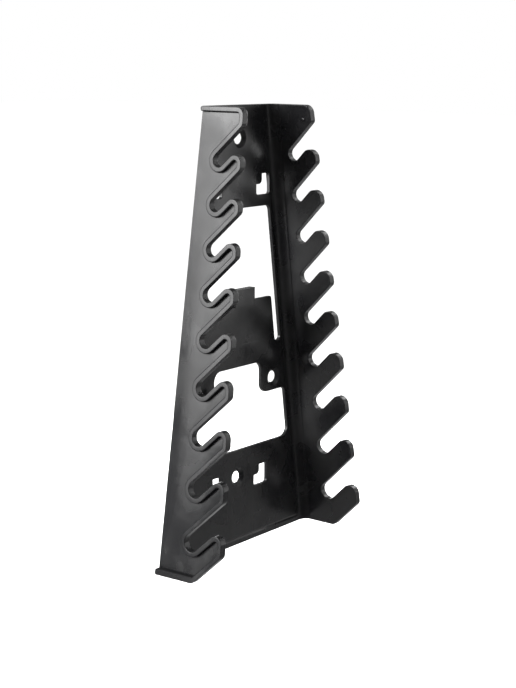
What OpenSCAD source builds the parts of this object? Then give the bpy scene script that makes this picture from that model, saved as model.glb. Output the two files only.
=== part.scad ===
// Wall rack for a set of wrenches: a tapered channel with a flat back and two
// side walls cut into slanting fingers. A shank lies across the two walls, in
// the pair of slots at its own height, with the small wrenches at the top.
// The real rack is one moulding. It is divided here into its working features.
// Millimetres. The wall is the plane y = 0, the front faces -Y and +Z is up.
// The origin is on the wall, midway between the screw holes on the centre line.

/* [Overall] */
// height of the rack
rack_h = 280; // [274:1:310]
// width of the channel at its foot, over the panels and without the rims
foot_w = 147.8; // [130:1:180]
// width of the channel at its head, over the panels and without the rims
head_w = 64.8; // [60:1:90]
// thickness of every panel
wall = 2.4; // [1.6:0.1:3.2]
// radius inside the bend between the back and a side wall
bend_r = 3.2; // [2:0.2:5]

/* [Side walls] */
// reach of the side wall from the wall plane at the head
head_depth = 32.3; // [30:0.1:40]
// reach of the side wall from the wall plane at the foot
foot_depth = 49.1; // [46:0.1:60]
// width of the uncut web behind the slots, carried up to the head
web_head = 12.5; // [11:0.5:13.5]
// width of the uncut web behind the slots, carried down to the foot
web_foot = 20.4; // [18:0.5:23]

/* [Slots] */
// slope of the slots, measured up from level
slot_angle = 43.8; // [40:0.5:48]
// width of the top slot
slot_w = 8.5; // [6.5:0.1:9]
// how much each step in width from slot to slot grows over the one above it
slot_w_growth = 0.064; // [0:0.002:0.08]
// drop from the head to the round end of the top slot
first_drop = 30.8; // [29:0.2:33]
// height of the lowest slot's round end
last_slot_h = 24.6; // [24:0.2:28]
// how much each step from slot to slot grows over the one above it
pitch_growth = 0.29; // [0.15:0.01:0.4]
// how much more than that each step between the large wrenches grows
large_extra = 0.93; // [0:0.01:1.1]

/* [Fingers] */
// distance of the fingers' roots in front of the slots' straight edges
root_margin = 0.9; // [0.7:0.1:1.5]
// radius of a finger's nose, limited by the finger's width
nose_r = 5; // [3.6:0.1:6]
// radius under the nose, where the slot's upper edge starts
heel_r = 3.5; // [3.2:0.1:5]
// radius of the top front corner
brow_r = 5; // [3.6:0.1:8]
// radius of the lowest finger's chin and foot
chin_r = 3.8; // [3.2:0.1:5]
// distance of the foot's front corner behind the fingers' roots
foot_back = 2.3; // [2.2:0.1:3]

/* [Rim] */
// width of the raised rim along the edges of the side walls, limited by the fingers
rim_w = 3; // [1.5:0.1:3]
// height of the rim over the outside of the panel
rim_proud = 2.4; // [1:0.1:3]
// height of the flange along the foot
foot_rim_w = 4; // [3:0.1:4.5]
// how far the flange stands out at its rear end, from where it thins to the rim
foot_proud = 3.7; // [3:0.1:4.2]
// rise of the side walls' foot over the lower edge of the back
foot_rise = 0.8; // [0.4:0.1:1.2]
// radius at the rear ends of the rim
rim_end_r = 1.2; // [0.6:0.1:1.4]

/* [Back openings] */
// distance of the windows from the outside of the panels
rail_w = 11.2; // [10:0.2:13]
// distance of the upper window below the head
upper_drop = 63.2; // [60:0.2:66]
// height of the lower window's bottom edge
lower_foot = 62.8; // [55:0.2:70]
// height of the lower window's top edge, which is the waist's lower edge
lower_top = 116.7; // [112:0.2:118]
// height of the waist between the windows
waist_h = 11.5; // [9:0.1:14]
// width of the slits beside the tongue
slit_w = 5.9; // [3:0.1:7]
// drop of the screw tabs into the lower window
tab_drop = 20.7; // [18:0.2:23]
// distance between the two screw tabs
tab_gap = 47.4; // [44:0.2:50]
// radius of the lower window's bottom corners and of the tabs' corners
tab_r = 6; // [3:0.5:7]
// radius of the windows' outer upper corners
window_r = 3.5; // [2:0.5:6]

/* [Screw holes] */
// radius of the screw holes
hole_r = 3.8; // [2.5:0.1:4.5]
// radius of the countersinks at the front
sink_r = 6; // [5:0.1:7]
// depth of the straight part behind a countersink
hole_land = 0.6; // [0.4:0.1:1]
// height of the lower screw hole
lower_hole_h = 45; // [42:0.2:48]
// distance of the upper screw hole below the head
upper_hole_drop = 20.2; // [19:0.2:24]
// distance of the holes in the tabs from the tabs' free edges
tab_hole_in = 13; // [11:0.2:15]
// height of the holes in the tabs over the tabs' lower edges
tab_hole_up = 8.7; // [8:0.1:10]

/* [Hook openings] */
// distance of the hook openings' centres from the centre line
hook_x = 23.65; // [22:0.2:26]
// width of a hook opening
hook_w = 13.3; // [11:0.1:14]
// height of a hook opening
hook_h = 13.2; // [11:0.1:14]
// height of its full-width lower part
hook_low_h = 6.5; // [4:0.1:7]
// width of the neck above it
hook_neck_w = 6.3; // [4:0.1:8]
// depth of the sunk ledge beside the neck
hook_sink = 1.2; // [0.6:0.1:1.6]
// radius of the opening's outer corners
hook_r = 1.3; // [0.6:0.1:2]
// height of the lower pair's bottom edge
lower_hook_h = 35.6; // [33:0.2:38]
// distance of the upper pair's bottom edge above the upper window
upper_hook_rise = 7.1; // [5:0.1:9]

/* [Tongue] */
// length of the tongue from its root to its free end
tongue_l = 27.2; // [24:0.2:34]
// radius of the tongue's end corners
tongue_r = 1.8; // [1:0.1:3]
// width of the thumb pad
pad_w = 21; // [16:0.5:24]
// height of the thumb pad
pad_h = 10.7; // [9:0.1:12]
// how far the pad stands out in front of the tongue
pad_proud = 5; // [3:0.2:6]
// how far the pad reaches down over the tongue
pad_lap = 2; // [1.5:0.1:4]
// thickness of the pad's shell
pad_wall = 1.8; // [1.2:0.1:2.2]
// radius of the pad's upright corners
pad_r = 1.2; // [0.6:0.1:2]

/* [Small marks] */
// height of the shallow groove along the foot of the back
groove_h = 4.3; // [4:0.1:5]
// depth of the groove
groove_deep = 0.2; // [0.1:0.05:0.4]
// radius of the groove's round bottom
groove_r = 3; // [2:0.5:4]
// radius of the ejector mark inside each side wall
mark_r = 1.5; // [1:0.1:2]
// height of the ejector mark
mark_proud = 0.3; // [0.2:0.1:0.6]
// distance of the mark from the wall plane
mark_reach = 27; // [25:0.5:27]
// distance of the mark below the head
mark_drop = 9.4; // [8:0.2:11]

/* [Hidden] */
// sides of the circles
$fn = 72;
// slots down each side wall, one fewer than its fingers
slot_count = 9;
// steps of the small wrenches, before the faster growth of the large ones
small_steps = 4;
// most that the rim takes of a finger's width on either edge
rim_share = 0.3;
// first step, worked out so that the lowest slot comes to its height
all_steps = slot_count - 1;
pitch = (rack_h - first_drop - last_slot_h - pitch_growth * sum_to(all_steps - 1)
    - large_extra * sum_to(all_steps - small_steps)) / all_steps;
// overrun of cutting bodies
over = 1;
// how far a rounding circle passes the edges it rounds, so that they cross cleanly
cross = 0.01;
// lean of the side panels: narrowing of one side for each unit of height
lean = (foot_w - head_w) / 2 / rack_h;
lean_angle = atan(lean);
// growth of the side walls' reach and of the web for each unit of drop
reach_slope = (foot_depth - head_depth) / rack_h;
web_slope = (web_foot - web_head) / rack_h;
// direction of the slots and the direction square to it, as [reach, height]
along = [cos(slot_angle), sin(slot_angle)];
across = [-sin(slot_angle), cos(slot_angle)];
// the fingers part from the web along a line in front of all slot ends
last_slot_r = slot_r(slot_count - 1);
root_gap = last_slot_r * (1 + sin(slot_angle)) + root_margin;
// heights of the back's features
upper_top = rack_h - upper_drop;
upper_hole_h = rack_h - upper_hole_drop;
upper_hook_h = upper_top + upper_hook_rise;
tongue_root = lower_top + waist_h + slit_w / 2;
tongue_top = tongue_root + tongue_l;
tab_foot = lower_top - tab_drop;
bend_reach = wall + bend_r;
tab_hole_x = tab_gap / 2 + tab_hole_in;
// the origin lies midway between the two screw holes on the centre line
origin_h = (lower_hole_h + upper_hole_h) / 2;
plastic = [0.13, 0.13, 0.135];

// half width over the panels at height z
function half_w(z) = foot_w / 2 - lean * z;
// half width of the windows at height z
function window_w(z) = half_w(z) - rail_w;
// reach of the front edge at height z, set back by the inset
function reach(z, inset) = head_depth + reach_slope * (rack_h - z) - inset / cos(atan(reach_slope));
// reach of the web at height z
function web(z) = web_head + web_slope * (rack_h - z);
// line on which the fingers part from the web
function root(z) = web(z) + root_gap;
// radius and height of slot k's round end
function slot_r(k) = (slot_w + slot_w_growth * sum_to(k)) / 2;
function slot_z(k) = rack_h - first_drop - pitch * k - pitch_growth * sum_to(k - 1)
    - large_extra * sum_to(max(0, k - small_steps));
// 1 + 2 + 3 and so on, up to n
function sum_to(n) = n * (n + 1) / 2;
// centre of slot k's round end, as [reach, height]
function slot_end(k) = [web(slot_z(k)) + slot_r(k), slot_z(k)];
// a point on the slot's edge: side is 1 for the upper edge and -1 for the lower
function edge_point(k, side, inset) = slot_end(k) + side * (slot_r(k) - cross + inset) * across;
// where a slot's edge, run on along the slope, meets the line u = a - b * z
function meet(p, a, b) = p + along * (a - b * p[1] - p[0]) / (along[0] + b * along[1]);
function at_front(p, inset) = meet(p, reach(0, inset), reach_slope);
function at_root(p) = meet(p, root(0), web_slope);
// unit vector
function unit(v) = v / norm(v);
// sign of the turn at corner b of the path a, b, c
function turn(a, b, c) = (b[0] - a[0]) * (c[1] - b[1]) - (b[1] - a[1]) * (c[0] - b[0]);

// piece between a sharp corner and its rounding, with a spare tip past the corner
module corner_piece(before, corner, after, radius) {
    p = unit(before - corner);
    q = unit(after - corner);
    half_angle = acos(p * q) / 2;
    middle = unit(p + q);
    centre = corner + middle * radius / sin(half_angle);
    run = radius / tan(half_angle);
    difference() {
        polygon([corner + p * run, corner - middle * run, corner + q * run, centre]);
        translate(centre) circle(r = radius + cross);
    }
}

// outline through corners that are listed counter-clockwise, each with its own radius
module soft_outline(points, radii) {
    n = len(points);
    difference() {
        union() {
            polygon(points);
            for (i = [0 : n - 1])
                if (radii[i] > 0 && turn(points[(i + n - 1) % n], points[i], points[(i + 1) % n]) < 0)
                    corner_piece(points[(i + n - 1) % n], points[i], points[(i + 1) % n], radii[i]);
        }
        for (i = [0 : n - 1])
            if (radii[i] > 0 && turn(points[(i + n - 1) % n], points[i], points[(i + 1) % n]) > 0)
                corner_piece(points[(i + n - 1) % n], points[i], points[(i + 1) % n], radii[i]);
    }
}

// stands an outline drawn as [x, height] on the wall plane, with the given thickness
module stand_flat(thickness, start = 0) {
    translate([0, -start, 0]) rotate([90, 0, 0]) linear_extrude(height = thickness) children();
}

// stands an outline drawn as [reach, height] across the whole rack
module stand_across() {
    rotate([90, 0, -90]) linear_extrude(height = foot_w + 4 * rim_proud, center = true) children();
}

// leaning slab of the right side between two distances out from the panel's outer face
module lean_slab(inner, outer) {
    stand_flat(foot_depth + over)
        polygon([[half_w(0) + inner, 0], [half_w(0) + outer, 0],
            [half_w(rack_h) + outer, rack_h], [half_w(rack_h) + inner, rack_h]]);
}

// a feature of the right side: full outline through rim and panel, sunk to the
// panel's face inside the rim. The first child is the outline, the second the sunk field.
module side_feature() {
    difference() {
        intersection() {
            lean_slab(-wall, rim_proud);
            stand_across() children(0);
        }
        intersection() {
            translate([0, over, 0]) lean_slab(0, rim_proud + over);
            stand_across() children(1);
        }
    }
}

// moves a feature from heights over the foot to heights over the origin
module from_origin() {
    translate([0, 0, -origin_h]) children();
}

// the left side mirrors the right one
module on_side(side) {
    if (side < 0) mirror([1, 0, 0]) children();
    if (side > 0) children();
}

// corners of finger k in front of the root line, counter-clockwise from the lower root.
// The two root corners may run back along their own edges.
function finger_foot(k, inset, back = 0) = k < slot_count
    ? [at_root(edge_point(k, 1, inset)) - along * back, at_front(edge_point(k, 1, inset), inset)]
    : [at_root(chin(inset)) - along * back, chin(inset)];
function finger_head(k, inset, back = 0) = k > 0
    ? [at_front(edge_point(k - 1, -1, inset), inset), at_root(edge_point(k - 1, -1, inset)) - along * back]
    : [[reach(rack_h - inset, inset), rack_h - inset], [root(rack_h - inset) - back, rack_h - inset]];
function foot_radius(k) = k < slot_count ? heel_r : chin_r;
function head_radius(k) = k > 0 ? nose_radius(k) : brow_r;

// the lowest finger slopes back from its chin to its foot at the slots' angle
function foot_reach() = root(foot_rise) - foot_back;
function chin(inset) = at_front([foot_reach(), foot_rise] + inset * across, inset);
function chin_foot(inset, low) = chin(inset)[0] - (chin(inset)[1] - low) / tan(slot_angle);

// height of finger k's flat front before its corners are rounded
function front_h(k) = at_front(edge_point(k - 1, -1, 0), 0)[1] - at_front(edge_point(k, 1, 0), 0)[1];
function heel_run() = heel_r * tan(45 - slot_angle / 2);
// the nose turns in by 90 degrees and the slope
function nose_radius(k) = k == slot_count ? nose_r
    : min(nose_r, (front_h(k) - heel_run()) * tan(45 - slot_angle / 2));
function rim() = min(rim_w, front_h(1) * cos(slot_angle) * rim_share);

module finger_outline(k, inset, back = 0) {
    soft_outline(concat(finger_foot(k, inset, back), finger_head(k, inset, back)),
        [0, foot_radius(k) - inset, head_radius(k) - inset, 0]);
}

// one finger with its share of the rim
module finger(side, k) {
    color(plastic) from_origin() on_side(side) side_feature() {
        finger_outline(k, 0);
        finger_outline(k, rim(), over);
    }
}

// outline of slot k: the round end and its straight part, as far as past the root line
module slot_outline(k, grow) {
    translate(slot_end(k)) circle(r = slot_r(k) + grow);
    far = along * root_gap * 2;
    polygon([edge_point(k, -1, grow), edge_point(k, -1, grow) + far,
        edge_point(k, 1, grow) + far, edge_point(k, 1, grow)]);
}

// the web carries the slots' round ends and the rim round each of them. Its lower edge
// lies at the height low, and its two upright edges may run ahead to either side.
module web_outline(inset, low, ahead = 0) {
    difference() {
        soft_outline([[bend_reach - ahead, low], [chin_foot(inset, low), low],
            at_root(chin(inset)) + along * ahead, [root(rack_h - inset) + ahead, rack_h - inset],
            [bend_reach - ahead, rack_h - inset]], [0, chin_r - inset, 0, 0, 0]);
        for (k = [0 : slot_count - 1]) slot_outline(k, inset);
    }
}

module web_wall(side) {
    color(plastic) from_origin() on_side(side) union() {
        side_feature() {
            web_outline(0, foot_rise);
            web_outline(rim(), foot_rise + foot_rim_w, over);
        }
        foot_flange(bend_reach, flange_end(), 0);
    }
}

// rail: the bend between back and side wall, with the strip of back beside the windows
module rail(side) {
    color(plastic) from_origin() difference() {
        on_side(side) {
            difference() {
                stand_flat(bend_reach)
                    polygon([[window_w(0), 0], [bend_axis(0), 0], [half_w(foot_rise) - wall, foot_rise],
                        [half_w(foot_rise), foot_rise], [half_w(rack_h), rack_h],
                        [window_w(rack_h), rack_h]]);
                // room in front of the flat strip
                stand_flat(bend_reach, wall)
                    polygon([[window_w(0) - over, -over], [bend_axis(-over), -over],
                        [bend_axis(rack_h + over), rack_h + over],
                        [window_w(rack_h) - over, rack_h + over]]);
                // the bend itself, a round that leans with the side wall
                translate([bend_axis(0), -bend_reach, 0]) rotate([0, -lean_angle, 0])
                    translate([0, 0, -rack_h / 4]) cylinder(r = bend_r, h = rack_h * 1.5);
            }
            foot_flange(0, bend_reach, rim_end_r);
            rim_end(rack_h - rim(), rim());
        }
        // the upper hook openings reach into the rails
        hook_openings(upper_hook_h);
    }
}
function bend_axis(z) = half_w(z) - wall - bend_r / cos(lean_angle);

// rear end of the rim on the outside of the bend, from height z up
module rim_end(z, rim_h) {
    intersection() {
        lean_slab(0, rim_proud);
        stand_across()
            soft_outline([[0, z], [bend_reach, z], [bend_reach, z + rim_h], [0, z + rim_h]],
                [rim_end_r, 0, 0, rim_end_r]);
    }
}

// flange on the outside of the foot between two reaches. Its face is upright and comes
// in from its rear end to the rim at the foot's front corner.
module foot_flange(start, end, end_r) {
    top = foot_rise + foot_rim_w;
    intersection() {
        mirror([0, 1, 0]) linear_extrude(height = top)
            polygon([[half_w(top), start], [flange_x(start), start],
                [flange_x(end), end], [half_w(top), end]]);
        stand_across()
            soft_outline([[start, foot_rise], [end, foot_rise], [end, top], [start, top]],
                [end_r, 0, 0, end_r]);
    }
}
function flange_x(u) = half_w(foot_rise) + foot_proud - (foot_proud - rim_proud) * u / flange_end();
function flange_end() = chin_foot(0, foot_rise) - chin_r * tan(slot_angle / 2);

// hook opening seen from the front: right of the neck it is straight, left of it a ledge
module hook_outline(z) {
    soft_outline([[-hook_w / 2, z], [hook_w / 2, z], [hook_w / 2, z + hook_h],
        [hook_w / 2 - hook_neck_w, z + hook_h], [hook_w / 2 - hook_neck_w, z + hook_low_h],
        [-hook_w / 2, z + hook_low_h]],
        [hook_r, hook_r, hook_r, hook_r, 0, 0]);
}
module hook_field(z) {
    soft_outline([[-hook_w / 2, z], [hook_w / 2, z], [hook_w / 2, z + hook_h],
        [-hook_w / 2, z + hook_h]], [hook_r, hook_r, hook_r, hook_r]);
}
module hook_openings(z) {
    for (x = [-hook_x, hook_x]) translate([x, 0, 0]) {
        stand_flat(wall + 2 * over, -over) hook_outline(z);
        stand_flat(wall, wall - hook_sink) hook_field(z);
    }
}

// countersunk screw hole through the back
module screw_hole(x, z) {
    translate([x, 0, z]) rotate([90, 0, 0]) {
        translate([0, 0, -over]) cylinder(r = hole_r, h = wall + 2 * over);
        translate([0, 0, hole_land])
            cylinder(r1 = hole_r, r2 = sink_r, h = wall - hole_land);
        translate([0, 0, wall]) cylinder(r = sink_r, h = over);
    }
}

// trapezoid between the rails from height a to height b
module back_field(a, b) {
    polygon([[-window_w(a), a], [window_w(a), a], [window_w(b), b], [-window_w(b), b]]);
}

// the upper window, down to the tongue's root, with the round feet of the slits
module upper_window() {
    soft_outline([[-window_w(tongue_root), tongue_root], [window_w(tongue_root), tongue_root],
        [window_w(upper_top), upper_top], [-window_w(upper_top), upper_top]],
        [0, 0, window_r, window_r]);
    for (side = [-1, 1])
        translate([side * (window_w(tongue_root) - slit_w / 2), tongue_root])
            circle(r = slit_w / 2);
}

// the lower window: wide below, and a neck between the screw tabs above
module lower_window() {
    soft_outline([[-window_w(lower_foot), lower_foot], [window_w(lower_foot), lower_foot],
        [window_w(tab_foot), tab_foot], [tab_gap / 2, tab_foot], [tab_gap / 2, lower_top],
        [-tab_gap / 2, lower_top], [-tab_gap / 2, tab_foot], [-window_w(tab_foot), tab_foot]],
        [tab_r, tab_r, window_r, tab_r, tab_r, tab_r, tab_r, window_r]);
}

module head_plate() {
    color(plastic) from_origin() difference() {
        stand_flat(wall) difference() {
            back_field(upper_top - window_r, rack_h);
            upper_window();
        }
        hook_openings(upper_hook_h);
        screw_hole(0, upper_hole_h);
    }
}

module waist_plate() {
    color(plastic) from_origin() stand_flat(wall) difference() {
        back_field(lower_top - tab_r, tongue_root);
        upper_window();
        lower_window();
        // the tabs take over at their own width
        for (side = [-1, 1]) translate([side * (tab_gap / 2 + foot_w / 2), 0])
            translate([-foot_w / 2, 0]) square([foot_w, lower_top]);
    }
}

module screw_tab(side) {
    color(plastic) from_origin() on_side(side) difference() {
        stand_flat(wall) difference() {
            polygon([[tab_gap / 2, tab_foot - window_r],
                [window_w(tab_foot - window_r), tab_foot - window_r],
                [window_w(lower_top), lower_top], [tab_gap / 2, lower_top]]);
            lower_window();
        }
        screw_hole(tab_hole_x, tab_foot + tab_hole_up);
    }
}

module foot_plate() {
    color(plastic) from_origin() difference() {
        stand_flat(wall) difference() {
            back_field(0, lower_foot + tab_r);
            lower_window();
        }
        // shallow round groove along the foot
        translate([-foot_w / 2, -wall - groove_r + groove_deep, groove_h]) rotate([0, 90, 0])
            cylinder(r = groove_r, h = foot_w);
        hook_openings(lower_hook_h);
        screw_hole(0, lower_hole_h);
    }
}

// sprung tongue, held at its root only
module tongue() {
    color(plastic) from_origin() stand_flat(wall)
        soft_outline([[-window_w(tongue_root) + slit_w, tongue_root],
            [window_w(tongue_root) - slit_w, tongue_root],
            [window_w(tongue_top) - slit_w, tongue_top],
            [-window_w(tongue_top) + slit_w, tongue_top]], [0, 0, tongue_r, tongue_r]);
}

// thumb pad: a shell that stands on the tongue's face and rises over its end
module thumb_pad() {
    foot = tongue_top - pad_lap;
    color(plastic) from_origin() translate([0, -wall, 0]) difference() {
        translate([0, 0, foot]) linear_extrude(height = pad_h)
            soft_outline([[-pad_w / 2, -pad_proud], [pad_w / 2, -pad_proud],
                [pad_w / 2, 0], [-pad_w / 2, 0]], [pad_r, pad_r, 0, 0]);
        translate([-pad_w / 2 + pad_wall, -pad_proud + pad_wall, tongue_top])
            cube([pad_w - 2 * pad_wall, pad_proud, pad_h - pad_lap - pad_wall]);
    }
}

// ejector mark on the inside of a side wall, standing on the leaning panel
module ejector_mark(side) {
    z = rack_h - mark_drop;
    color(plastic) from_origin() on_side(side)
        translate([half_w(z) - wall, -mark_reach, z]) rotate([0, -90 - lean_angle, 0])
            cylinder(r = mark_r, h = mark_proud);
}

rail(-1);  // rail_left
rail(1);  // rail_right
head_plate();
waist_plate();
foot_plate();
screw_tab(-1);  // tab_left
screw_tab(1);  // tab_right
tongue();
thumb_pad();
web_wall(-1);  // web_left
web_wall(1);  // web_right
ejector_mark(-1);  // mark_left
ejector_mark(1);  // mark_right
finger(-1, 0);  // finger_left_1
finger(-1, 1);  // finger_left_2
finger(-1, 2);  // finger_left_3
finger(-1, 3);  // finger_left_4
finger(-1, 4);  // finger_left_5
finger(-1, 5);  // finger_left_6
finger(-1, 6);  // finger_left_7
finger(-1, 7);  // finger_left_8
finger(-1, 8);  // finger_left_9
finger(-1, 9);  // finger_left_10
finger(1, 0);  // finger_right_1
finger(1, 1);  // finger_right_2
finger(1, 2);  // finger_right_3
finger(1, 3);  // finger_right_4
finger(1, 4);  // finger_right_5
finger(1, 5);  // finger_right_6
finger(1, 6);  // finger_right_7
finger(1, 7);  // finger_right_8
finger(1, 8);  // finger_right_9
finger(1, 9);  // finger_right_10
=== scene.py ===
import bpy, bmesh
from math import radians, sin, cos, tan, atan, atan2, acos, pi
from mathutils import Matrix, Vector
from mathutils.geometry import tessellate_polygon


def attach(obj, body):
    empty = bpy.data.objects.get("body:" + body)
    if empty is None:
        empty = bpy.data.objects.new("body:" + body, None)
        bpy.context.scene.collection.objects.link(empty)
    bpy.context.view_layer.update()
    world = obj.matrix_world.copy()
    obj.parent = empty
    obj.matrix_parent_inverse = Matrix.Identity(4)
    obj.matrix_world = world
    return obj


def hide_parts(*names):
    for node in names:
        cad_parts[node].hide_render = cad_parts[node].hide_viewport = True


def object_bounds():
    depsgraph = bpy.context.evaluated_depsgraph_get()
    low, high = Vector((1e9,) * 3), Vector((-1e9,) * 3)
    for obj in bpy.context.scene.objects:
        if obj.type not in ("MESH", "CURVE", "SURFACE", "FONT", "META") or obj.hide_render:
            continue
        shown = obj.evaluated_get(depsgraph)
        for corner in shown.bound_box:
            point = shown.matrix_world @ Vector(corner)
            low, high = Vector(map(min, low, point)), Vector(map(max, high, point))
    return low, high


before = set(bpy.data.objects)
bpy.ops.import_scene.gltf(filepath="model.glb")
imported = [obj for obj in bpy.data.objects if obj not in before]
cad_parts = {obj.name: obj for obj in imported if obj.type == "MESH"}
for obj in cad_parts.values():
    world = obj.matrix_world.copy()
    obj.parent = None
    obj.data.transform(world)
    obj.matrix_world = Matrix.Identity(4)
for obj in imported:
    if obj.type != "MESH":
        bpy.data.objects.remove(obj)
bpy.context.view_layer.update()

print("rack: solids loaded")

# sizes of the rack in millimetres, heights over its foot, as in the part's source
rack = {
    "height": 280, "footWidth": 147.8, "headWidth": 64.8, "wall": 2.4,
    "bendR": 6.5,    # softer than in the source
    "lowerHole": 45, "upperHoleDrop": 20.2,
}
mm = 0.001
upperHole = rack["height"] - rack["upperHoleDrop"]
originHeight = (rack["lowerHole"] + upperHole) / 2    # midway between the screw holes
lean = (rack["footWidth"] - rack["headWidth"]) / 2 / rack["height"]


def halfWidth(z):
    return rack["footWidth"] / 2 - lean * z


def place(x, reach, z):    # from millimetres over the foot to the frame
    return Vector((x * mm, -reach * mm, (z - originHeight) * mm))


# small tools for meshes made of rings of points, in millimetres
sharp = 0.02                                # a smaller radius stays a corner
mend = {"merge": 0.004, "sliver": 0.002}    # points nearer than this become one


def corner(before, at, after, radius, steps):    # rounding of a corner, as points
    if radius < sharp:
        return [at] * (steps + 1)
    toBefore, toAfter = (before - at).normalized(), (after - at).normalized()
    half = acos(max(-1, min(1, toBefore.dot(toAfter)))) / 2
    centre = at + (toBefore + toAfter).normalized() * radius / sin(half)
    first = at + toBefore * radius / tan(half) - centre
    last = at + toAfter * radius / tan(half) - centre
    start = atan2(first.y, first.x)
    sweep = (atan2(last.y, last.x) - start + pi) % (2 * pi) - pi
    turns = [start + sweep * i / steps for i in range(steps + 1)]
    return [centre + radius * Vector((cos(a), sin(a))) for a in turns]


def arc(centre, radius, start, end, steps):    # angles in degrees
    turns = [radians(start + (end - start) * i / steps) for i in range(steps + 1)]
    return [Vector((centre[0] + radius * cos(a), centre[1] + radius * sin(a))) for a in turns]


def mirrored(p):
    return Vector((-p.x, p.y))


def softLoop(corners, radii, grow, steps):    # counter-clockwise outline, grown outwards
    count = len(corners)
    points = [Vector(c) for c in corners]
    moved = []
    for i in range(count):
        a, b, c = points[i - 1], points[i], points[(i + 1) % count]
        u, v = (b - a).normalized(), (c - b).normalized()
        outU, outV = Vector((u.y, -u.x)), Vector((v.y, -v.x))
        moved.append(b + (outU + outV) * grow / (1 + outU.dot(outV)))
    loop = []
    for i in range(count):
        a, b, c = moved[i - 1], moved[i], moved[(i + 1) % count]
        left = (b - a).cross(c - b) > 0
        radius = radii[i] + (grow if left else -grow) if radii[i] else 0
        loop += corner(a, b, c, radius, steps)
    return loop


def bridge(bm, a, b, closed=True, slot=0):
    count = len(a)
    for i in range(count if closed else count - 1):
        j = (i + 1) % count
        bm.faces.new((a[i], a[j], b[j], b[i])).material_index = slot


def fill(bm, rings, flat):    # flat face through the first ring, with the others as holes
    verts = [v for ring in rings for v in ring]
    lines = [[Vector((*p, 0)) for p in line] for line in flat]
    for a, b, c in tessellate_polygon(lines):
        if len({a, b, c}) == 3:
            bm.faces.new((verts[a], verts[b], verts[c]))


def finishMesh(bm, name, materials, body, *nodes):
    bmesh.ops.remove_doubles(bm, verts=bm.verts, dist=mend["merge"] * mm)
    bmesh.ops.dissolve_degenerate(bm, edges=bm.edges, dist=mend["sliver"] * mm)
    openEdges = [e for e in bm.edges if e.is_boundary]
    if openEdges:    # where open rings begin and end
        bmesh.ops.holes_fill(bm, edges=openEdges, sides=0)
    bmesh.ops.recalc_face_normals(bm, faces=bm.faces)
    loose = [e for e in bm.edges if not e.is_manifold]
    print("rack:", name, len(bm.verts), "points,", len(loose), "open edges")
    for face in bm.faces:
        face.smooth = True
    mesh = bpy.data.meshes.new(name)
    bm.to_mesh(mesh)
    bm.free()
    for each in materials:
        mesh.materials.append(each)
    piece = bpy.data.objects.new(name, mesh)
    bpy.context.scene.collection.objects.link(piece)
    shade = piece.modifiers.new("faceNormals", "WEIGHTED_NORMAL")
    shade.weight = 100    # flat faces stay flat up to their roundings
    shade.keep_sharp = True
    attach(piece, body)
    if nodes:
        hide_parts(*nodes)


# black moulded plastic, satin, with faint flow marks and a fine grain
plastic = {
    "dark": (0.0036, 0.0036, 0.0040),
    "light": (0.0062, 0.0062, 0.0064),
    "cloudScale": 38, "cloudDetail": 5, "cloudDepth": 0.00035,
    "streakScale": 55, "streakDetail": 3, "streakLength": 0.16, "streakShare": 0.45,
    "grainScale": 1500, "grainDetail": 2, "grainDepth": 0.000016,
    "duller": (0.5, 0.95),     # where the clouds turn the plastic duller
    "lighter": (0.35, 0.7),    # and where they turn it lighter
}


def blackPlastic(name, smooth, dull, gloss):
    mat = bpy.data.materials.new(name)
    mat.use_nodes = True
    nodes, links = mat.node_tree.nodes, mat.node_tree.links
    shader = nodes["Principled BSDF"]
    shader.inputs["Specular IOR Level"].default_value = gloss
    coord = nodes.new("ShaderNodeTexCoord")

    def noise(scale, detail, stretch=(1, 1, 1)):
        turn = nodes.new("ShaderNodeMapping")
        turn.inputs["Scale"].default_value = stretch
        made = nodes.new("ShaderNodeTexNoise")
        made.inputs["Scale"].default_value = scale
        made.inputs["Detail"].default_value = detail
        links.new(coord.outputs["Object"], turn.inputs["Vector"])
        links.new(turn.outputs["Vector"], made.inputs["Vector"])
        return made.outputs["Fac"]

    clouds = noise(plastic["cloudScale"], plastic["cloudDetail"])
    upwards = (1, 1, plastic["streakLength"])    # the way the plastic flowed
    streaks = noise(plastic["streakScale"], plastic["streakDetail"], upwards)
    grain = noise(plastic["grainScale"], plastic["grainDetail"])
    mixed = nodes.new("ShaderNodeMath")
    mixed.operation = "MULTIPLY_ADD"
    mixed.inputs[1].default_value = plastic["streakShare"]
    links.new(streaks, mixed.inputs[0])
    links.new(clouds, mixed.inputs[2])
    spread = nodes.new("ShaderNodeMapRange")
    spread.interpolation_type = "SMOOTHSTEP"
    limits = (*plastic["duller"], smooth, dull)
    for socket, value in zip(("From Min", "From Max", "To Min", "To Max"), limits):
        spread.inputs[socket].default_value = value
    links.new(mixed.outputs["Value"], spread.inputs["Value"])
    links.new(spread.outputs["Result"], shader.inputs["Roughness"])
    shade = nodes.new("ShaderNodeValToRGB")
    for stop, at, colour in zip(shade.color_ramp.elements, plastic["lighter"],
                                (plastic["dark"], plastic["light"])):
        stop.position = at
        stop.color = (*colour, 1)
    links.new(clouds, shade.inputs["Fac"])
    links.new(shade.outputs["Color"], shader.inputs["Base Color"])
    normal = None
    for height, depth in ((mixed.outputs["Value"], plastic["cloudDepth"]),
                          (grain, plastic["grainDepth"])):
        bump = nodes.new("ShaderNodeBump")
        bump.inputs["Distance"].default_value = depth
        links.new(height, bump.inputs["Height"])
        if normal:
            links.new(normal, bump.inputs["Normal"])
        normal = bump.outputs["Normal"]
    links.new(normal, shader.inputs["Normal"])
    return mat


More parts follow.
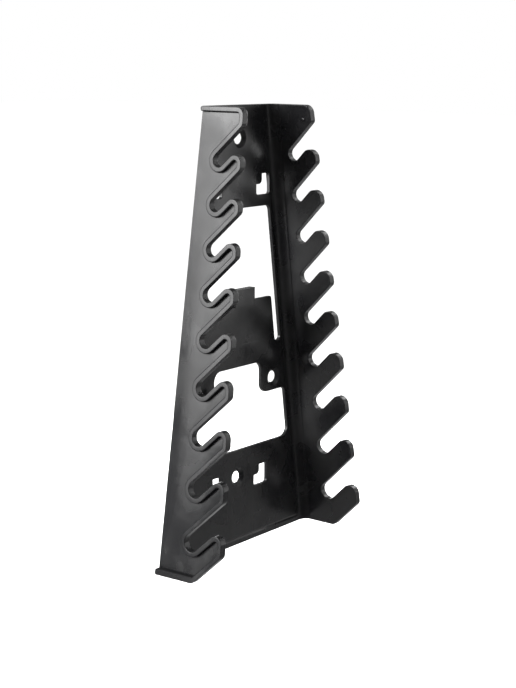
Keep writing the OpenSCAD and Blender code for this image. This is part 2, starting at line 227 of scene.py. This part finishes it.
satinBlack = blackPlastic("satinBlack", smooth=0.18, dull=0.4, gloss=0.16)
# painted shade: a darker, less glossy copy of the plastic for the rim's inside, standing in for the
# shade in the crease along the rim
rimShadeCopy = blackPlastic("rimShadeCopy", smooth=0.5, dull=0.7, gloss=0.05)    # inner edge of the rim
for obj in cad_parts.values():
    obj.data.materials.clear()
    obj.data.materials.append(satinBlack)
print("rack: plastic made")

# side walls: combs with a raised rim, whose outline is drawn as [reach, height]
side = {
    "headReach": 32.3, "footReach": 49.1,    # front line at the head and at the foot
    "headWeb": 12.5, "footWeb": 20.4,        # uncut web behind the slots
    "slope": 43.8, "slots": 9,
    "slotWidth": 8.5, "widthGrowth": 0.064,
    "firstDrop": 30.8, "lastSlot": 24.6,
    "pitchGrowth": 0.29, "smallSteps": 4, "largeExtra": 0.93,
    "rootMargin": 0.9, "noseR": 5, "heelR": 3.5, "browR": 5, "chinR": 3.8,
    "rim": 3, "rimProud": 2.4, "rimEndR": 1.2, "leastEndR": 0.1,
    "flange": 4, "flangeProud": 3.7, "rise": 0.8, "footBack": 2.3,
    "rearSteps": 4, "browSteps": 8, "heelSteps": 4, "slotSteps": 20, "noseSteps": 10,
    "chinSteps": 4, "footSteps": 5,
}
edge = {    # soft edges of the moulding, and the fine line sunk along the rim's inside
    "round": 0.32, "inner": 0.6, "fillet": 0.15, "steps": 3,
    "line": ((0, 0), (0.03, -0.2), (0.2, -0.26), (0.42, -0.12), (0.55, 0)),
}
quarterTurn = [pi / 2 * i / edge["steps"] for i in range(edge["steps"] + 1)]
slope = radians(side["slope"])
along = Vector((cos(slope), sin(slope)))
across = Vector((-along.y, along.x))
reachSlope = (side["footReach"] - side["headReach"]) / rack["height"]
webSlope = (side["footWeb"] - side["headWeb"]) / rack["height"]
noseShare = tan(pi / 4 - slope / 2)    # a nose's radius for each millimetre of its front


def sumTo(n):
    return n * (n + 1) / 2


allSteps = side["slots"] - 1
pitch = (rack["height"] - side["firstDrop"] - side["lastSlot"]
         - side["pitchGrowth"] * sumTo(allSteps - 1)
         - side["largeExtra"] * sumTo(allSteps - side["smallSteps"])) / allSteps


def reach(z, inset):
    return side["headReach"] + reachSlope * (rack["height"] - z) - inset / cos(atan(reachSlope))


def web(z):
    return side["headWeb"] + webSlope * (rack["height"] - z)


def slotR(k):
    return (side["slotWidth"] + side["widthGrowth"] * sumTo(k)) / 2


def slotEnd(k):
    z = (rack["height"] - side["firstDrop"] - pitch * k - side["pitchGrowth"] * sumTo(k - 1)
         - side["largeExtra"] * sumTo(max(0, k - side["smallSteps"])))
    return Vector((web(z) + slotR(k), z))


def edgePoint(k, way, inset):
    return slotEnd(k) + across * way * (slotR(k) + inset)


def meet(p, a, b):    # where the slope through p meets the line reach = a - b * height
    return p + along * (a - b * p.y - p.x) / (along.x + b * along.y)


def atFront(p, inset):
    return meet(p, reach(0, inset), reachSlope)


def noseR(k):
    if k == side["slots"]:
        return side["noseR"]
    front = atFront(edgePoint(k - 1, -1, 0), 0).y - atFront(edgePoint(k, 1, 0), 0).y
    return min(side["noseR"], (front - side["heelR"] * noseShare) * noseShare)


rootGap = slotR(allSteps) * (1 + sin(slope)) + side["rootMargin"]
footPoint = Vector((web(side["rise"]) + rootGap - side["footBack"], side["rise"]))


def chin(inset):
    return atFront(footPoint + across * inset, inset)


def sideOutline(inset, high, low, rearIn, endR):
    # from the rear of the head along the comb to the rear of the foot
    headMid = Vector((rearIn, rack["height"] - side["rim"] / 2))
    footMid = Vector((rearIn, side["rise"] + side["flange"] / 2))
    head, brow = Vector((rearIn, high)), Vector((reach(high, inset), high))
    line = [headMid] + corner(headMid, head, brow, endR, side["rearSteps"])
    heel = atFront(edgePoint(0, 1, inset), inset)
    line += corner(head, brow, heel, side["browR"] - inset, side["browSteps"])
    before = brow
    for k in range(side["slots"]):
        upper, lower = edgePoint(k, 1, inset), edgePoint(k, -1, inset)
        heel, nose = atFront(upper, inset), atFront(lower, inset)
        line += corner(before, heel, upper, side["heelR"] - inset, side["heelSteps"])
        line += arc(slotEnd(k), slotR(k) + inset, side["slope"] + 90, side["slope"] + 270,
                    side["slotSteps"])
        after = chin(inset) if k == allSteps else atFront(edgePoint(k + 1, 1, inset), inset)
        line += corner(lower, nose, after, noseR(k + 1) - inset, side["noseSteps"])
        before = nose
    foot = footPoint + across * inset
    foot = Vector((foot.x - (foot.y - low) / tan(slope), low))
    line += corner(before, chin(inset), foot, side["chinR"] - inset, side["chinSteps"])
    rear = Vector((rearIn, low))
    line += corner(chin(inset), foot, rear, side["chinR"] - inset, side["footSteps"])
    return line + corner(foot, rear, footMid, endR, side["rearSteps"]) + [footMid]


def sideWall(name, way):
    bm = bmesh.new()
    r, soft = edge["round"], edge["inner"]
    top, bottom = rack["height"], side["rise"]
    proud, rim, endR = side["rimProud"], side["rim"], side["rimEndR"]
    innerTop, innerLow = top - rim, bottom + side["flange"]
    levels = []    # inset, height over the panel, head, foot, and inset and radius at the rear
    for a in quarterTurn:    # inner face to edge
        d = r * (1 - sin(a))
        levels.append((d, -rack["wall"] + r * (1 - cos(a)), top - d, bottom + d, 0, 0))
    levels.append((0, 0, top, bottom, 0, 0))
    for a in reversed(quarterTurn):
        levels.append((0, edge["fillet"] * (1 - sin(a)), top, bottom, 0, endR))
    for a in quarterTurn:    # up over the rim
        d = r * (1 - cos(a))
        levels.append((d, proud - r + r * sin(a), top - d, bottom + d, d, endR - d))
    # from here on the rings on the rim's inside take the painted-shade copy of the plastic
    rimShadeFrom = len(levels)
    for a in reversed(quarterTurn):    # and down on its inside
        d = soft * (1 - cos(a))
        rearIn = min(d, endR - side["leastEndR"])
        levels.append((rim - d, proud - soft + soft * sin(a), innerTop + d, innerLow - d,
                       rearIn, endR - rearIn))
    for d, h in edge["line"]:
        levels.append((rim + d, h, innerTop - d, innerLow + d, 0, endR))
    rings, flats = [], []
    for inset, h, high, low, rearIn, rearR in levels:
        flat = sideOutline(inset, high, low, rearIn, rearR)
        flangeFrom = len(flat) - side["rearSteps"] - 2
        ring = []
        for i, p in enumerate(flat):
            x = halfWidth(p.y) + h
            if h > 0 and i >= flangeFrom:    # the flange is upright and stands out further
                x = halfWidth(bottom) + side["flangeProud"] * h / proud
            ring.append(bm.verts.new(place(way * x, p.x, p.y)))
        rings.append(ring)
        flats.append(flat)
    for i, (a, b) in enumerate(zip(rings, rings[1:])):
        bridge(bm, a, b, closed=False, slot=1 if i >= rimShadeFrom else 0)
    fill(bm, [rings[0]], [flats[0]])
    fill(bm, [rings[-1][1:-1]], [flats[-1][1:-1]])
    fingers = ["finger_" + name + "_" + str(k + 1) for k in range(side["slots"] + 1)]
    finishMesh(bm, "side_wall_" + name, [satinBlack, rimShadeCopy], "rack", "web_" + name, *fingers)


sideWall("left", -1)
sideWall("right", 1)

# ejector marks, low domes on the inner faces near the head
mark = {
    "drop": 9.4, "reach": 27, "r": 1.5, "proud": 0.5, "sunk": 0.15,
    "steps": 4, "points": 20, "turn": 80,    # degrees from its rim to the flat spot on top
}


def ejectorMark(name, way):
    bm = bmesh.new()
    z = rack["height"] - mark["drop"]
    centre = place(way * (halfWidth(z) - rack["wall"]), mark["reach"], z)
    frontwards, inwards = Vector((0, -1, 0)), Vector((-way, 0, -lean)).normalized()
    upwards = Vector((-way * lean, 0, 1)).normalized()
    rings = []
    for i in range(mark["steps"] + 1):
        a = radians(mark["turn"] * i / mark["steps"])
        height = mark["proud"] * sin(a) if i else -mark["sunk"]
        ring = arc((0, 0), mark["r"] * cos(a), 0, 360, mark["points"])[:-1]
        spots = [centre + (frontwards * p.x + upwards * p.y + inwards * height) * mm for p in ring]
        rings.append([bm.verts.new(spot) for spot in spots])
    for a, b in zip(rings, rings[1:]):
        bridge(bm, a, b)
    bm.faces.new(rings[0])
    bm.faces.new(rings[-1])
    finishMesh(bm, "ejector_mark_" + name, [satinBlack], "rack", "mark_" + name)


ejectorMark("left", -1)
ejectorMark("right", 1)
print("rack: side walls made")

# back plate with its windows, hook openings and screw holes, drawn as [x, height]
back = {
    "rail": 11.2, "upperDrop": 63.2, "lowerFoot": 62.8, "lowerTop": 116.7, "waist": 11.5,
    "slit": 5.9, "tabDrop": 20.7, "tabGap": 47.4, "tabR": 6, "windowR": 3.5,
    "holeR": 3.8, "tabHoleIn": 13, "tabHoleUp": 8.7,
    "hookX": 23.65, "hookW": 13.3, "hookH": 13.2, "hookR": 1.7,
    "lowerHook": 35.6, "upperHookUp": 7.1,
    "upperSteps": 5, "slitSteps": 12, "lowerSteps": 6, "hookSteps": 4, "bendSteps": 8,
}
sink = {    # countersinks round the screw holes
    "r": 6, "lip": 0.2, "lipDeep": 0.06, "deep": 0.25,
    "land": 0.6, "bevel": 0.1, "points": 48,
}
groove = {    # along the foot, as steps across it and shares of its depth
    "height": 4.3, "deep": 0.35, "half": 1.2, "fade": 4,
    "profile": ((-1, 0), (-0.8, 0.06), (-0.12, 0.94), (0, 1), (0.12, 0.94), (0.8, 0.06), (1, 0)),
}
upperTop = rack["height"] - back["upperDrop"]
tongueRoot = back["lowerTop"] + back["waist"] + back["slit"] / 2
tabFoot = back["lowerTop"] - back["tabDrop"]
upperHook = upperTop + back["upperHookUp"]
hooks = [(x, z) for z in (back["lowerHook"], upperHook) for x in (-back["hookX"], back["hookX"])]


def windowX(z):
    return halfWidth(z) - back["rail"]


def bendX(z):
    return halfWidth(z) - rack["wall"] - rack["bendR"] / cos(atan(lean))


def upperWindow(d):
    outer = windowX(tongueRoot)
    middle = outer - back["slit"] / 2
    top = upperTop + d
    start, end = Vector((outer + d, tongueRoot)), Vector((windowX(top) + d, top))
    right = corner(start, end, mirrored(end), back["windowR"] + d, back["upperSteps"])
    loop = []
    for x in (-middle, middle):
        loop += arc((x, tongueRoot), back["slit"] / 2 + d, 180, 360, back["slitSteps"])
    return loop + right + [mirrored(p) for p in reversed(right)]


def lowerWindow(d):
    low, tab, top, gap = back["lowerFoot"], tabFoot, back["lowerTop"], back["tabGap"] / 2
    right = [(windowX(low), low), (windowX(tab), tab), (gap, tab), (gap, top)]
    corners = right + [(-x, z) for x, z in reversed(right)]
    wide, small = back["tabR"], back["windowR"]
    radii = [wide, small, wide, wide, wide, wide, small, wide]
    return softLoop(corners, radii, d, back["lowerSteps"])


def hookField(x, z, d):
    w = back["hookW"] / 2
    corners = [(x - w, z), (x + w, z), (x + w, z + back["hookH"]), (x - w, z + back["hookH"])]
    return softLoop(corners, [back["hookR"]] * 4, d, back["hookSteps"])


def roundEdges(thickness, r):    # growth and reach of the rings through a plate, front to rear
    front = [(r * (1 - sin(a)), thickness - r + r * cos(a)) for a in quarterTurn]
    rear = [(r * (1 - cos(a)), r * (1 - sin(a))) for a in quarterTurn]
    return front + rear


def flatOf(verts):    # back from the frame to [x, height]
    return [(v.co.x / mm, v.co.z / mm + originHeight) for v in verts]


def backPlate():
    bm = bmesh.new()
    r, wall, top = edge["round"], rack["wall"], rack["height"]
    holes = []    # each as outlines and their reach, from front to rear
    through = roundEdges(wall, r)
    for outline in (upperWindow, lowerWindow):
        holes.append([(outline(d), u) for d, u in through])
    for x, z in hooks:
        holes.append([(hookField(x, z, d), u) for d, u in through])
    tabX = back["tabGap"] / 2 + back["tabHoleIn"]
    tabZ = tabFoot + back["tabHoleUp"]
    sizes = [(sink["r"] + sink["lip"], wall), (sink["r"], wall - sink["lipDeep"]),
             (sink["r"] - sink["lip"], wall - sink["deep"]),
             (back["holeR"], sink["land"] + sink["bevel"]),
             (back["holeR"] - sink["bevel"], sink["land"]),
             (back["holeR"] - sink["bevel"], sink["bevel"]), (back["holeR"], 0)]
    for spot in ((0, rack["lowerHole"]), (0, upperHole), (-tabX, tabZ), (tabX, tabZ)):
        holes.append([(arc(spot, radius, 0, 360, sink["points"])[:-1], u) for radius, u in sizes])
    fronts, rears = [], []
    for rings in holes:
        made = [[bm.verts.new(place(p.x, u, p.y)) for p in line] for line, u in rings]
        for a, b in zip(made, made[1:]):
            bridge(bm, a, b)
        fronts.append((made[0], rings[0][0]))
        rears.append((made[-1], rings[-1][0]))

    # rows from the foot to the head, as height, inset and depth in the groove
    rows = [(r * (1 - cos(a)), r * (1 - sin(a)), 0) for a in quarterTurn]
    for step, share in groove["profile"]:
        rows.append((groove["height"] + step * groove["half"], 0, groove["deep"] * share))
    footRows = len(rows)
    rows += [(top - r * (1 - sin(a)), r * (1 - cos(a)), 0) for a in quarterTurn]
    bendTurns = [pi / 2 * i / back["bendSteps"] for i in range(back["bendSteps"] + 1)]
    sides = {}    # and their points round the bends into the side walls
    for way in (-1, 1):
        sides[way] = []
        for z, d, sunk in rows:
            x = bendX(z)
            wide, deep = rack["bendR"] / cos(atan(lean)) + d, rack["bendR"] + d
            line = [(x + wide * sin(a), wall + rack["bendR"] - deep * cos(a)) for a in bendTurns]
            inWall = halfWidth(z) - wall / 2
            line += [(inWall, wall + rack["bendR"]), (inWall, 0), (x, 0)]
            row = []
            for px, u in line:
                lift = side["rise"] * min(1, max(0, (px - x) / rack["bendR"])) if z < r else 0
                row.append(bm.verts.new(place(way * px, u, z + lift)))
            sides[way].append(row)
        for a, b in zip(sides[way], sides[way][1:]):
            bridge(bm, a, b, closed=False)
        for row in (sides[way][0], sides[way][-1]):
            fill(bm, [row], [[(v.co.x, v.co.y) for v in row]])
    left, right = sides[-1], sides[1]
    middle = []    # the groove's rows have points of their own, so that it fades at its ends
    for k, (z, d, sunk) in enumerate(rows):
        span = [left[k][0]]
        if 0 < k <= footRows:
            for x in (-bendX(z) + groove["fade"], bendX(z) - groove["fade"]):
                span.append(bm.verts.new(place(x, wall - d - sunk, z)))
        span.append(right[k][0])
        middle.append(span)
    for k in range(len(rows) - 1):
        if k == footRows - 1:
            continue    # the face with the holes lies here
        a, b = middle[k], middle[k + 1]
        if len(a) == len(b):
            bridge(bm, a, b, closed=False)
        else:
            bm.faces.new(a + b[::-1])
    outerFront = middle[footRows - 1] + middle[footRows][::-1]
    outerRear = [left[0][-1], right[0][-1], right[-1][-1], left[-1][-1]]
    for outer, inner in ((outerFront, fronts), (outerRear, rears)):
        fill(bm, [outer] + [ring for ring, line in inner],
             [flatOf(outer)] + [line for ring, line in inner])
    for k in (0, -1):
        bm.faces.new((left[k][0], right[k][0], right[k][-1], left[k][-1]))
    finishMesh(bm, "back_plate", [satinBlack], "rack", "rail_left", "rail_right",
               "head_plate", "waist_plate", "foot_plate", "tab_left", "tab_right")


def plate(name, body, outline, thickness, r, nodes=()):
    bm = bmesh.new()
    rings = [(outline(-d), u) for d, u in roundEdges(thickness, r)]
    made = [[bm.verts.new(place(p.x, u, p.y)) for p in line] for line, u in rings]
    for a, b in zip(made, made[1:]):
        bridge(bm, a, b)
    for k in (0, -1):
        fill(bm, [made[k]], [rings[k][0]])
    finishMesh(bm, name, [satinBlack], body, *nodes)


backPlate()

# ledges beside the necks of the hook openings, sunk below the face
ledge = {
    "low": 6.5, "neck": 6.3, "sunk": 1.2, "tipR": 3, "cornerR": 0.4, "round": 0.25, "steps": 4,
    "inPlate": 0.4,    # its far edges run into the plate
}


def hookLedge(name, x, z):
    w, more = back["hookW"] / 2, ledge["inPlate"]
    far, near = x - w - more, x + w - ledge["neck"]
    low, high = z + ledge["low"], z + back["hookH"] + more
    corners = [(far, low), (near, low), (near, high), (far, high)]
    radii = [ledge["cornerR"], ledge["tipR"], ledge["cornerR"], ledge["cornerR"]]
    plate(name, "rack", lambda d: softLoop(corners, radii, d, ledge["steps"]),
          rack["wall"] - ledge["sunk"], ledge["round"])


for i, (x, z) in enumerate(hooks):
    hookLedge("hook_ledge_" + str(i + 1), x, z)
print("rack: back made")

# sprung tongue between its slits
tongue = {"length": 27.2, "cornerR": 1.8, "steps": 5, "padEdge": 0.35, "padSteps": 3}
tongueTop = tongueRoot + tongue["length"]


def tongueOutline(d):
    narrower = d - back["slit"]
    foot = Vector((windowX(tongueRoot) + narrower, tongueRoot))
    head = Vector((windowX(tongueTop) + narrower, tongueTop + d))
    right = corner(foot, head, mirrored(head), tongue["cornerR"] + d, tongue["steps"])
    return [mirrored(foot), foot] + right + [mirrored(p) for p in reversed(right)]


plate("tongue_plate", "tongue", tongueOutline, rack["wall"], edge["round"], ["tongue"])
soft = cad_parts["thumb_pad"].modifiers.new("softEdges", "BEVEL")
soft.width, soft.segments, soft.limit_method = tongue["padEdge"] * mm, tongue["padSteps"], "ANGLE"
print("rack: tongue made")

# floor and light
studio = {
    "floorHalf": 12, "floorGrey": 0.92, "floorRough": 0.9,
    "floorDrop": 0.25,    # below the rack, which hangs on a wall
    "room": 0.4,          # light from all round
    "sky": 2.5,           # soft light from above, which also whitens the floor
    "skyAngle": 70,
    "cards": {            # centre, half of one side, half of the other, grey
        # behind the camera, between it and the rack, and just over the floor
        "flag": ((-0.90, -0.70, 0.2), (0.67, -0.86, 0), (0, 0, 0.8), 0.01),
        "mat": ((-0.52, -0.41, -0.39), (0.27, -0.34, 0), (0.37, 0.29, 0), 0.01),
        "apron": ((0, 0, -0.395), (1.6, 0, 0), (0, 1.6, 0), 0.22),
    },
    "boxes": {            # place, aimed at, width, height, power
        "softboxLeft": ((-1.22, 0.57, 0.58), (-0.06, 0, 0.1), 1.1, 0.55, 62),
        "softboxLow": ((-1.22, 0.57, 0.11), (-0.06, 0, 0), 1.1, 0.42, 23),
        "softboxRight": ((1.4, -0.1, 0.4), (0.06, 0, 0), 0.7, 0.9, 24),
        "softboxRightLow": ((1.22, 0.57, -0.15), (0.06, 0, -0.1), 1.1, 0.4, 9),
        "stripRight": ((0.9, -0.9, 0.25), (0, 0, 0), 0.5, 1.0, 5),
        "softboxFront": ((0.35, -1.6, 0.7), (0, 0, 0), 0.8, 0.8, 7),
        "softboxBack": ((-0.5, 1.75, 0.6), (0, 0, 0), 0.9, 0.8, 7),
    },
}
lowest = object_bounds()[0][2]
floorMesh = bpy.data.meshes.new("floor")
half = studio["floorHalf"]
corners = [(-half, -half, 0), (half, -half, 0), (half, half, 0), (-half, half, 0)]
floorMesh.from_pydata(corners, [], [(0, 1, 2, 3)])
floor = bpy.data.objects.new("floor", floorMesh)
floor.location.z = lowest - studio["floorDrop"]
bpy.context.scene.collection.objects.link(floor)
pale = bpy.data.materials.new("paleFloor")
pale.use_nodes = True
coat = pale.node_tree.nodes["Principled BSDF"]
coat.inputs["Base Color"].default_value = (*[studio["floorGrey"]] * 3, 1)
coat.inputs["Roughness"].default_value = studio["floorRough"]
floorMesh.materials.append(pale)

for name, (spot, aim, width, height, power) in studio["boxes"].items():
    light = bpy.data.lights.new(name, "AREA")
    light.shape, light.size, light.size_y, light.energy = "RECTANGLE", width, height, power
    box = bpy.data.objects.new(name, light)
    box.location = spot
    box.rotation_euler = (Vector(aim) - Vector(spot)).to_track_quat("-Z", "Y").to_euler()
    box.visible_camera = False
    bpy.context.scene.collection.objects.link(box)

for name, (spot, aside, upwards, grey) in studio["cards"].items():
    spot, aside, upwards = Vector(spot), Vector(aside), Vector(upwards)
    cardMesh = bpy.data.meshes.new(name)
    corners = [spot + aside * i + upwards * j for i, j in ((-1, -1), (1, -1), (1, 1), (-1, 1))]
    cardMesh.from_pydata(corners, [], [(0, 1, 2, 3)])
    card = bpy.data.objects.new(name, cardMesh)
    # only mirrored in the plastic
    card.visible_camera = card.visible_shadow = card.visible_diffuse = False
    bpy.context.scene.collection.objects.link(card)
    paper = bpy.data.materials.new(name + "Paper")
    paper.use_nodes = True
    coat = paper.node_tree.nodes["Principled BSDF"]
    coat.inputs["Base Color"].default_value = (grey, grey, grey, 1)
    coat.inputs["Specular IOR Level"].default_value = 0
    cardMesh.materials.append(paper)

sky = bpy.data.lights.new("sky", "SUN")
sky.energy, sky.angle = studio["sky"], radians(studio["skyAngle"])
bpy.context.scene.collection.objects.link(bpy.data.objects.new("sky", sky))

world = bpy.data.worlds.new("studio")
bpy.context.scene.world = world
world.use_nodes = True
nodes, links = world.node_tree.nodes, world.node_tree.links
room = nodes["Background"]
room.inputs["Strength"].default_value = studio["room"]
backdrop = nodes.new("ShaderNodeBackground")    # white, where the camera sees past the floor
seen = nodes.new("ShaderNodeLightPath")
pick = nodes.new("ShaderNodeMixShader")
room.inputs["Color"].default_value = backdrop.inputs["Color"].default_value = (1, 1, 1, 1)
links.new(seen.outputs["Is Camera Ray"], pick.inputs["Fac"])
links.new(room.outputs["Background"], pick.inputs[1])
links.new(backdrop.outputs["Background"], pick.inputs[2])
links.new(pick.outputs["Shader"], nodes["World Output"].inputs["Surface"])
bpy.context.scene.view_settings.view_transform = "Standard"
print("rack: floor and light made")

# camera, where the photograph was taken from
view = {
    "place": (-0.72033, -0.57444, 0.15800),
    "azimuth": -52.3,
    "elevation": 10.99,
    "roll": 0.527,
    "focalPixels": 1493.56,
    "imageHeight": 688,
}
az, el, roll = (radians(view[key]) for key in ("azimuth", "elevation", "roll"))
rearward = Vector((sin(az) * cos(el), -cos(az) * cos(el), sin(el)))
right = Vector((cos(az), sin(az), 0))
up = rearward.cross(right)
camRight = right * cos(roll) + up * sin(roll)
camUp = up * cos(roll) - right * sin(roll)
camData = bpy.data.cameras.new("photoCamera")
camData.lens = view["focalPixels"] * camData.sensor_width / view["imageHeight"]    # the longer side
camera = bpy.data.objects.new("photoCamera", camData)
turn = Matrix((camRight, camUp, rearward)).transposed().to_4x4()
camera.matrix_world = Matrix.Translation(view["place"]) @ turn
bpy.context.scene.collection.objects.link(camera)
bpy.context.scene.camera = camera
print("rack: camera placed")
